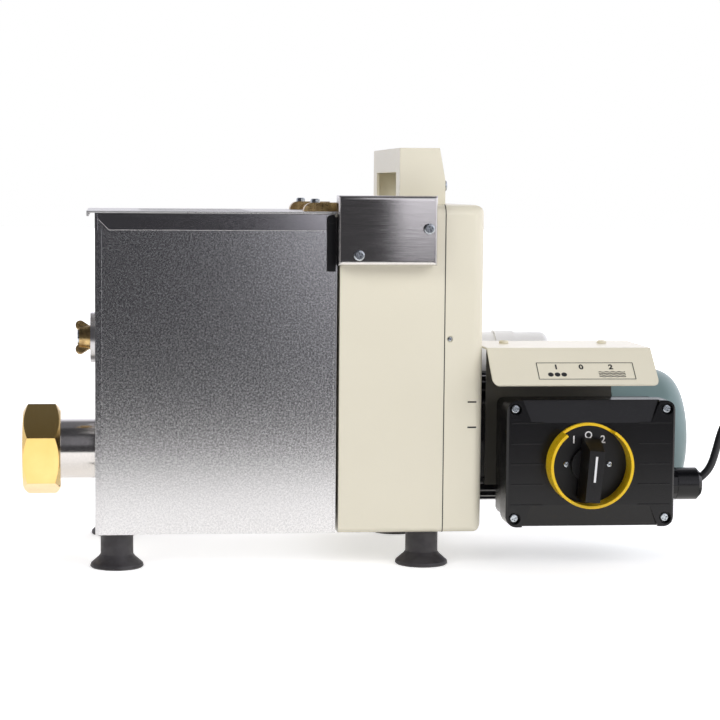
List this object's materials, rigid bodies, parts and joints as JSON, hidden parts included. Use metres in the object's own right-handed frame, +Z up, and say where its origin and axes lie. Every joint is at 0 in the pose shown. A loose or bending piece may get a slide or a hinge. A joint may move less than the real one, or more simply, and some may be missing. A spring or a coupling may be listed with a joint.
{
  "type": "electric pasta maker",
  "caption": "Electric pasta extruder: steel kneading tub with slotted hinged lid and screw press, cream gear case, finned motor, switch box with yellow dial, suction feet and mains cord.",
  "frame": {"origin": "middle of the machine's outline, at the height of the surface that it stands on, without the free cord", "axes": "+X runs from the die to the motor, +Y away from the switch side, +Z up"},
  "size_m": [0.687, 0.2372, 0.3135],
  "materials": {
    "painted_cream": "gloss",
    "stainless": "brushed",
    "brass": "polished",
    "bright_metal": "satin",
    "rubber": "matte",
    "black_plastic": "satin",
    "motor_paint": "satin",
    "cowl_paint": "satin",
    "capacitor_can": "satin",
    "yellow_plastic": "gloss",
    "red_plastic": "satin"
  },
  "bodies": {
    "machine": {"front_plate": "stainless", "near_flank": "stainless", "far_flank": "stainless", "tub_rear_plate": "stainless", "basin": "stainless", "base_sheet": "stainless", "barrel": "stainless", "die": "brass", "kneader_flange": "stainless", "kneader_pin": "bright_metal", "drive_bearings": "brass", "bearing_plate": "bright_metal", "gear_case": "painted_cream", "rear_cover": "painted_cream", "carry_handle": "painted_cream", "handle_screws": "bright_metal", "suction_feet": "rubber", "foot_bolts": "bright_metal", "hinge_bushes": "black_plastic", "rim_plugs": "rubber", "hinge_cover": "stainless", "hinge_cover_screws": "bright_metal", "interlock_switch": "black_plastic", "motor_flange": "motor_paint", "motor_body": "motor_paint", "stator": "bright_metal", "fan_cowl": "cowl_paint", "capacitor": "capacitor_can", "capacitor_clamp": "bright_metal", "splash_cover": "painted_cream", "splash_bracket": "painted_cream", "splash_screws": "bright_metal", "switch_base": "black_plastic", "switch_lid": "black_plastic", "switch_lid_screws": "bright_metal", "switch_block": "black_plastic", "dial": "black_plastic", "dial_collar": "yellow_plastic", "cable_gland": "rubber", "cord_lead": "rubber", "cord_coil": "rubber", "cord_tail": "rubber", "plug": "rubber"},
    "lid": {"lid": "stainless", "hinge_arms": "brass", "lid_screws": "bright_metal", "hinge_pin": "bright_metal", "interlock_cam": "black_plastic"},
    "ring_nut": {"ring_nut": "brass"},
    "wing_nut": {"wing_nut": "brass"},
    "auger": {"auger": "bright_metal", "auger_gear": "bright_metal"},
    "kneader": {"kneader": "stainless", "kneader_gear": "bright_metal"},
    "countershaft": {"counter_gear": "bright_metal"},
    "rotor": {"rotor": "bright_metal", "motor_pinion": "bright_metal", "cooling_fan": "black_plastic"},
    "knob": {"switch_knob": "black_plastic"},
    "plunger": {"interlock_plunger": "red_plastic"}
  },
  "joints": [
    {"name": "lid_hinge", "type": "hinge", "parent": "machine", "child": "lid", "pos_m": [-0.017, 0.023, 0.264], "axis": [0, 1, 0], "range_deg": [0, 95]},
    {"name": "rotor_spin", "type": "hinge", "parent": "machine", "child": "rotor", "pos_m": [0.06, 0.023, 0.08849], "axis": [1, 0, 0], "continuous": true},
    {"name": "counter_spin", "type": "hinge", "parent": "machine", "child": "countershaft", "pos_m": [0, 0.06457, 0.11628], "axis": [1, 0, 0], "continuous": true},
    {"name": "auger_spin", "type": "hinge", "parent": "machine", "child": "auger", "pos_m": [-0.1, 0.023, 0.0795], "axis": [1, 0, 0], "continuous": true},
    {"name": "kneader_spin", "type": "hinge", "parent": "machine", "child": "kneader", "pos_m": [-0.1, 0.023, 0.1665], "axis": [1, 0, 0], "continuous": true},
    {"name": "ring_nut_turn", "type": "hinge", "parent": "machine", "child": "ring_nut", "pos_m": [-0.25, 0.023, 0.0795], "axis": [1, 0, 0], "continuous": true},
    {"name": "wing_nut_turn", "type": "hinge", "parent": "machine", "child": "wing_nut", "pos_m": [-0.215, 0.023, 0.1665], "axis": [1, 0, 0], "continuous": true},
    {"name": "knob_turn", "type": "hinge", "parent": "machine", "child": "knob", "pos_m": [0.1585, -0.1, 0.08049], "axis": [0, 1, 0], "range_deg": [-30, 30]},
    {"name": "interlock_press", "type": "slide", "parent": "machine", "child": "plunger", "axis": [1, 0, 0], "range_m": [0, 0.0015], "stiffness_N_per_m": 300}
  ],
  "couplings": [
    {"joint": "counter_spin", "follows": "auger_spin", "ratio": -3.625},
    {"joint": "rotor_spin", "follows": "auger_spin", "ratio": 17.089},
    {"joint": "kneader_spin", "follows": "auger_spin", "ratio": -1}
  ]
}
